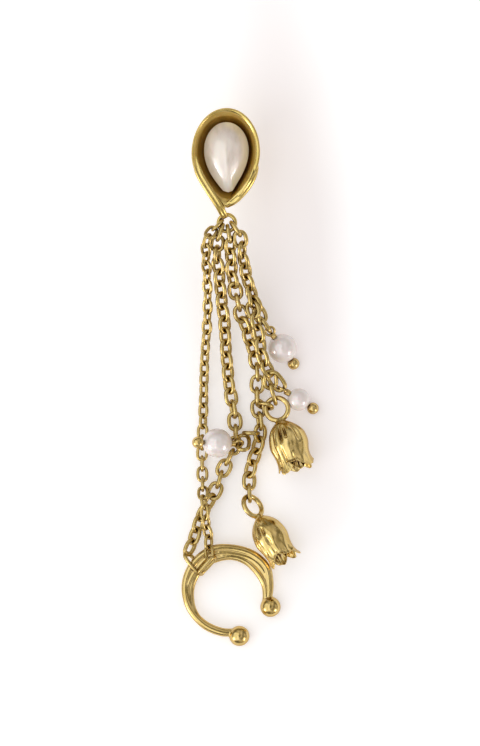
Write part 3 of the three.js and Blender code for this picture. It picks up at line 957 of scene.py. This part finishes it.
def petal(row, tulip):
    # one petal of the bell, as a skin with an outer and an inner side; along runs from the neck to the
    # tip and aside from -1 to 1 across it
    middle, half, long, out, drop, flare, curl, ruffle, tipWidth = row
    profile = softRows(tulipBody["profile"])
    narrowing = [(0, 1.0), (0.6, 1.0), (0.85, 0.9), (1, tipWidth)]
    rings = []
    for i in range(tulipBody["down"] + 1):
        along = i / tulipBody["down"]
        tip, lip = past(along, tulipBody["tipFrom"]), past(along, tulipBody["lipFrom"])
        wall = tulipBody["wall"] * (1 - tulipBody["thinning"] * tip)
        outer, inner = [], []
        for j in range(tulipBody["across"] + 1):
            aside = 2 * j / tulipBody["across"] - 1
            height = tulipBody["length"] * along * long * (1 - drop * abs(aside) ** 1.6)
            angle = middle + half * aside * readOff(narrowing, along)
            radius = readOff(profile, height) * tulip["plump"] + out * clamp(along * 3)
            for at, start, end, depth, width in tulip["folds"]:
                press = math.sin(math.pi * clamp((height - start) / (end - start)))
                radius -= depth * bell(angle - at, width) * press
            radius += flare * tip ** 2 + ruffle * tip * math.sin(aside * tulipBody["ruffles"] + middle)
            radius += curl * lip ** 2 - tulipBody["hollow"] * abs(aside) ** 4 * (1 - 0.6 * tip)
            turn = math.radians(angle)
            sway = tulip["sway"] * clamp(height / 2.5)
            for ring, depth in ((outer, 0.0), (inner, wall)):
                r = max(0.02, radius - depth)
                ring.append(Vector((r * math.cos(turn) + sway, r * math.sin(turn),
                                    height + depth * 0.4 * (1 - along))))
        rings.append(outer + inner[::-1])
    return flipped(skin(rings))


def makeTulip(tulip):
    aim = pointing(Vector(tulip["top"]), tulip["heading"], tulip["tilt"])
    turn = Matrix.Rotation(math.radians(tulip["roll"]), 4, "Z") @ Matrix.Rotation(math.pi / 2, 4, "X")
    above = Matrix.Translation((0, 0, -tulipRing["radius"] - tulipRing["gap"]))
    ring = torus(tulipRing["radius"], tulipRing["wire"], tulipRing["sides"], tulipRing["steps"])
    shapes = [placed(petal(row, tulip), aim) for row in tulip["petals"]]
    shapes.append(placed(ring, aim @ above @ turn))
    shapes.append(placed(turned(tulipBody["neck"], 32), aim))
    makePiece(tulip["name"], shapes, blossomGold, tulip["node"],
              fuse=tulipBody["fuse"], soften=tulipBody["soften"])


for tulip in tulips:
    makeTulip(tulip)
print("tulips ready")

cuff = {
    "x": -3.32, "y": -33.56, "z": 1.6,
    "ball": 1.6, "ballSteps": 40,
    "balls": [(3.22, -35.59), (-1.6, -40.1)],
    # rows of (angle, distance of the wire's middle, wire radius)
    "outer": [
        (-16, 6.2, 0.5), (0, 6.35, 0.6), (20, 6.75, 0.66), (36, 7.2, 0.68), (60, 7.15, 0.68),
        (90, 7.08, 0.66), (112, 7.28, 0.66), (140, 7.1, 0.64), (165, 6.86, 0.6), (190, 6.5, 0.58),
        (210, 6.2, 0.62), (235, 6.02, 0.68), (262, 6.02, 0.68), (282, 6.1, 0.6),
    ],
    "inner": [
        (-16, 5.9, 0.5), (0, 5.85, 0.55), (20, 5.8, 0.58), (60, 5.72, 0.55), (90, 5.75, 0.54),
        (130, 5.8, 0.54), (165, 5.8, 0.54), (190, 5.85, 0.52), (210, 5.95, 0.5), (235, 6.05, 0.5),
        (262, 6.1, 0.5), (282, 6.12, 0.5),
    ],
    "middle": [
        (-16, 6.1, 0.4), (20, 6.3, 0.4), (36, 6.5, 0.5), (60, 6.42, 0.48), (112, 6.5, 0.46),
        (165, 6.3, 0.5), (190, 6.15, 0.45), (210, 6.1, 0.4), (235, 6.05, 0.4), (262, 6.08, 0.4),
        (282, 6.1, 0.4),
    ],
    "middleLift": 0.08,
    "fuse": 0.085, "soften": 8,
}
cuffRing = {"width": 2.6, "wire": 0.6, "bite": 0.07}
narrowRing = {**cuffRing, "width": 1.9}


def cuffWire(rows, lift=0.0):
    # a bent wire that swells and thins along its way
    points = []
    for angle, reach, _ in rows:
        turn = math.radians(angle)
        points.append((cuff["x"] + reach * math.cos(turn), cuff["y"] + reach * math.sin(turn),
                       cuff["z"] + lift))
    swelling = softRows([(i / (len(rows) - 1), radius) for i, (_, _, radius) in enumerate(rows)])
    return sweep(smoothPath(points, 16), lambda t: readOff(swelling, t), 18)


def makeCuff():
    ball, steps = cuff["ball"], cuff["ballSteps"]
    shapes = [cuffWire(cuff["outer"]), cuffWire(cuff["inner"]), cuffWire(cuff["middle"], cuff["middleLift"])]
    for x, y in cuff["balls"]:
        rows = ballRows(ball, 0, steps, steps + 1)
        shapes.append(placed(turned(rows, 56), Matrix.Translation((x, y, ball))))
    makePiece("earCuff", shapes, gold, "ear_cuff", fuse=cuff["fuse"], soften=cuff["soften"])


def makeCuffRings():
    # oval links that lie over the cuff's wires and dip into them; the right one is nearly on edge
    left = linkBetween((-7.55, -30.25, 1.6), (-9.8, -27.5, 1.6), cuffRing, 62)
    right = linkBetween((-7.5, -30.15, 2.6), (-5.65, -28.1, 3.1), narrowRing, 64)
    makePiece("cuffRingLeft", [left], linkGold, "cuff_ring_left")
    makePiece("cuffRingRight", [right], linkGold, "cuff_ring_right")


makeCuff()
makeCuffRings()
print("ear cuff ready")
